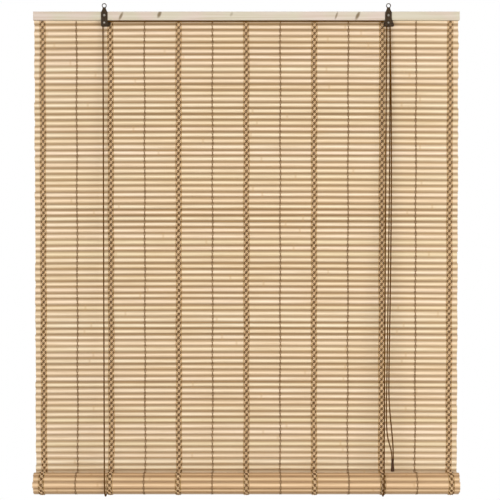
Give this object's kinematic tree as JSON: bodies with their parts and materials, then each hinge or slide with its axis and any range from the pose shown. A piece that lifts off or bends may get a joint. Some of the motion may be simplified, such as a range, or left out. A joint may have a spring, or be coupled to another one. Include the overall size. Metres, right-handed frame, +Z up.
{
  "type": "bamboo roll-up blind",
  "caption": "Window blind of split bamboo slats tied by woven bands, rolled up from below by two cords that run over wheels to a cord lock, with hook eyes to hang it from.",
  "frame": {"origin": "midway between the centres of the two hook eyes, in the middle of the hanger straps' thickness", "axes": "+X along the blind towards the cord lock, +Y to the wall, +Z up"},
  "size_m": [1, 0.0705, 1.1585],
  "materials": {
    "pine": "raw",
    "bamboo": "satin",
    "bamboo_back": "raw",
    "warp_yarn": "matte",
    "brown_steel": "satin",
    "dark_steel": "satin",
    "bright_steel": "satin",
    "wheel_plastic": "matte",
    "toggle_plastic": "matte",
    "cord": "matte"
  },
  "bodies": {
    "headrail": {"head_batten": "pine", "slat_mat": "bamboo", "warp_band_1": "warp_yarn", "warp_band_2": "warp_yarn", "warp_band_3": "warp_yarn", "warp_band_4": "warp_yarn", "warp_band_5": "warp_yarn", "warp_band_6": "warp_yarn", "warp_band_7": "warp_yarn", "warp_thread_1": "warp_yarn", "warp_thread_2": "warp_yarn", "warp_thread_3": "warp_yarn", "warp_thread_4": "warp_yarn", "warp_thread_5": "warp_yarn", "warp_thread_6": "warp_yarn", "left_hanger": "brown_steel", "lock_strap": "brown_steel", "left_guide_cheek": "brown_steel", "lock_cheek": "brown_steel", "left_wheel_axle": "dark_steel", "lock_wheel_axle": "dark_steel", "lock_cam_pin": "dark_steel", "lock_tie_pin": "dark_steel", "hanger_screws": "dark_steel", "mat_tacks": "dark_steel", "cord_staples": "bright_steel", "left_front_leg": "cord", "left_rear_leg": "cord", "right_front_leg": "cord", "right_rear_leg": "cord", "cross_cord": "cord", "lock_turn": "cord", "rear_pull_cord": "cord", "front_pull_cord": "cord"},
    "slings": {"left_sling": "cord", "right_sling": "cord"},
    "roll": {"mat_roll": "bamboo_back", "roll_bands": "warp_yarn", "roll_threads": "warp_yarn", "bottom_rod": "pine"},
    "wheel_left": {"left_wheel": "wheel_plastic"},
    "wheel_lock": {"lock_wheel": "wheel_plastic"},
    "cam": {"lock_cam": "dark_steel"},
    "cord_end": {"pull_toggle": "toggle_plastic"}
  },
  "joints": [
    {"name": "blind_lift", "type": "slide", "parent": "headrail", "child": "slings", "axis": [0, 0, 1], "range_m": [0, 0.9], "deforming": ["slat_mat", "warp_band_1", "warp_band_2", "warp_band_3", "warp_band_4", "warp_band_5", "warp_band_6", "warp_band_7", "warp_thread_1", "warp_thread_2", "warp_thread_3", "warp_thread_4", "warp_thread_5", "warp_thread_6", "left_front_leg", "right_front_leg", "left_rear_leg", "right_rear_leg", "rear_pull_cord", "front_pull_cord"]},
    {"name": "roll_turn", "type": "hinge", "parent": "slings", "child": "roll", "pos_m": [0, -0.01065, -1.12029], "axis": [-1, 0, 0], "range_deg": [0, 1800]},
    {"name": "left_wheel_turn", "type": "hinge", "parent": "headrail", "child": "wheel_left", "pos_m": [-0.333, 0.00775, -0.0394], "axis": [0, 1, 0], "continuous": true},
    {"name": "lock_wheel_turn", "type": "hinge", "parent": "headrail", "child": "wheel_lock", "pos_m": [0.333, 0.0056, -0.0394], "axis": [0, 1, 0], "continuous": true},
    {"name": "cord_pull", "type": "slide", "parent": "headrail", "child": "cord_end", "axis": [0, 0, -1], "range_m": [0, 1.8]},
    {"name": "lock_cam_turn", "type": "hinge", "parent": "headrail", "child": "cam", "pos_m": [0.3423, 0.0056, -0.0437], "axis": [0, -1, 0], "range_deg": [0, 40]}
  ],
  "couplings": [
    {"joint": "roll_turn", "follows": "blind_lift", "rad_per_m": 34.907},
    {"joint": "left_wheel_turn", "follows": "blind_lift", "rad_per_m": 500},
    {"joint": "lock_wheel_turn", "follows": "blind_lift", "rad_per_m": 500},
    {"joint": "cord_pull", "follows": "blind_lift", "ratio": 2}
  ]
}
